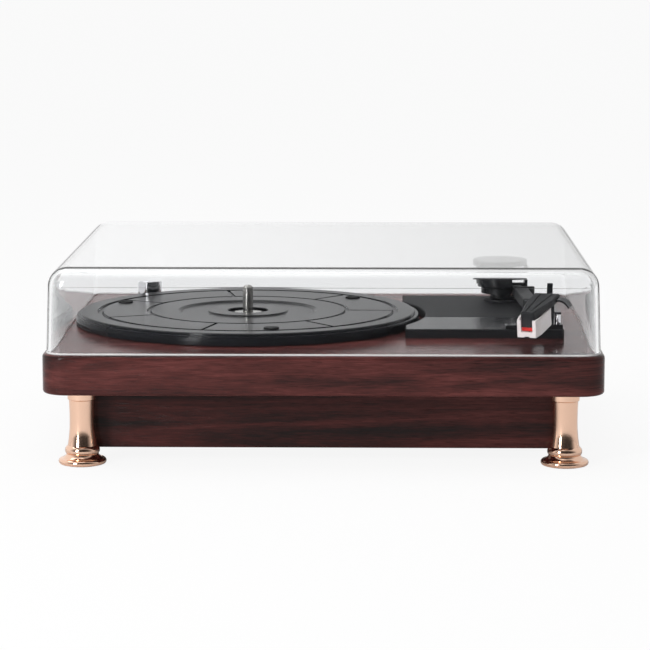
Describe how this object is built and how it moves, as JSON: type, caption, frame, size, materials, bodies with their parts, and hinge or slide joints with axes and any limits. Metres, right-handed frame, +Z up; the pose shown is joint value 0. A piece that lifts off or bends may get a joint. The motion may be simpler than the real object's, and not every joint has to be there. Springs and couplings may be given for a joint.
{
  "type": "turntable record player",
  "caption": "Belt-driven record player: wooden plinth on turned metal feet, clear lift-off cover, spinning platter, swinging tonearm with cue lever, and a control knob.",
  "frame": {"origin": "on the floor under the middle of the plinth", "axes": "+X to the right seen from the front, +Y to the back, +Z up"},
  "size_m": [0.35, 0.3, 0.1245],
  "materials": {
    "veneer": "satin red-brown veneer",
    "box_wood": "dark stained board",
    "rose_gold": "polished rose-gold plate",
    "rubber": "soft black rubber",
    "clear_acrylic": "clear polished acrylic",
    "platter_black": "satin black moulding",
    "black_plastic": "semi-gloss black moulding",
    "steel": "bright steel",
    "chrome": "polished chrome",
    "brass": "sintered bronze",
    "motor_metal": "plated steel",
    "board_green": "glass fibre board",
    "dark_parts": "matt black",
    "red_plastic": "red moulding",
    "black_metal": "satin black paint on steel",
    "guard_clear": "milky translucent moulding"
  },
  "bodies": {
    "plinth": {"top_board": "veneer", "front_panel": "box_wood", "back_panel": "box_wood", "left_panel": "box_wood", "right_panel": "box_wood", "bottom_panel": "box_wood", "glue_blocks": "box_wood", "base_screws": "motor_metal", "foot_studs": "steel", "bearing_bush": "brass", "thrust_plate": "motor_metal", "drive_belt": "rubber", "motor_can": "motor_metal", "motor_plate": "motor_metal", "motor_grommets": "rubber", "motor_screws": "motor_metal", "rotary_switch": "dark_parts", "switch_nut": "motor_metal", "circuit_board": "board_green", "board_standoffs": "dark_parts", "board_components": "dark_parts", "power_jack": "dark_parts", "line_out_left": "chrome", "line_out_right": "chrome", "tonearm_plate": "black_plastic", "plate_screws": "motor_metal", "arm_pillar": "dark_parts", "arm_rest": "black_plastic", "cue_base": "black_plastic", "cue_pin": "steel", "foot_front_left": "rose_gold", "foot_pad_front_left": "rubber", "foot_rear_left": "rose_gold", "foot_pad_rear_left": "rubber", "foot_front_right": "rose_gold", "foot_pad_front_right": "rubber", "foot_rear_right": "rose_gold", "foot_pad_rear_right": "rubber"},
    "cover": {"dust_cover": "clear_acrylic"},
    "platter": {"platter": "platter_black", "spindle": "steel", "platter_pads": "rubber", "hub_clip": "steel"},
    "pulley": {"motor_pulley": "brass", "motor_shaft": "steel"},
    "control": {"control_knob": "chrome", "switch_shaft": "steel"},
    "yoke": {"arm_yoke": "black_plastic", "pivot_pin": "steel"},
    "arm": {"arm_beam": "black_plastic", "counterweight": "dark_parts", "headshell": "black_plastic", "finger_lift": "black_plastic", "cartridge": "dark_parts", "stylus_holder": "red_plastic", "stylus": "steel"},
    "guard": {"stylus_guard": "guard_clear"},
    "lever": {"cue_lever": "black_metal"},
    "lift": {"cue_rod": "chrome", "cue_lift_bar": "black_plastic"}
  },
  "joints": [
    {"name": "cover_lift", "type": "slide", "parent": "plinth", "child": "cover", "axis": [0, 0, 1], "range_m": [0, 0.12]},
    {"name": "platter_spin", "type": "hinge", "parent": "plinth", "child": "platter", "pos_m": [-0.053, 0.0035, 0.079], "axis": [0, 0, 1], "continuous": true},
    {"name": "pulley_spin", "type": "hinge", "parent": "plinth", "child": "pulley", "pos_m": [-0.0055, 0.08577, 0.07], "axis": [0, 0, 1], "continuous": true},
    {"name": "knob_turn", "type": "hinge", "parent": "plinth", "child": "control", "pos_m": [-0.1275, 0.106, 0.08], "axis": [0, 0, -1], "range_deg": [0, 270]},
    {"name": "arm_swing", "type": "hinge", "parent": "plinth", "child": "yoke", "pos_m": [0.12, 0.068, 0.085], "axis": [0, 0, -1], "range_deg": [0, 55]},
    {"name": "arm_lift", "type": "hinge", "parent": "yoke", "child": "arm", "pos_m": [0.1316, 0.068, 0.085], "axis": [-1, 0, 0], "range_deg": [0, 6]},
    {"name": "guard_slide", "type": "slide", "parent": "arm", "child": "guard", "axis": [-0.3429, -0.9268, -0.153], "range_m": [0, 0.007]},
    {"name": "cue_rock", "type": "hinge", "parent": "plinth", "child": "lever", "pos_m": [0.1449, -0.062, 0.084], "axis": [-1, 0, 0], "range_deg": [0, 45.01]},
    {"name": "cue_drop", "type": "slide", "parent": "plinth", "child": "lift", "axis": [0, 0, -1], "range_m": [0, 0.0032]}
  ],
  "couplings": [
    {"joint": "pulley_spin", "follows": "platter_spin", "ratio": 13.167},
    {"joint": "cue_rock", "follows": "cue_drop", "rad_per_m": 245.44}
  ]
}
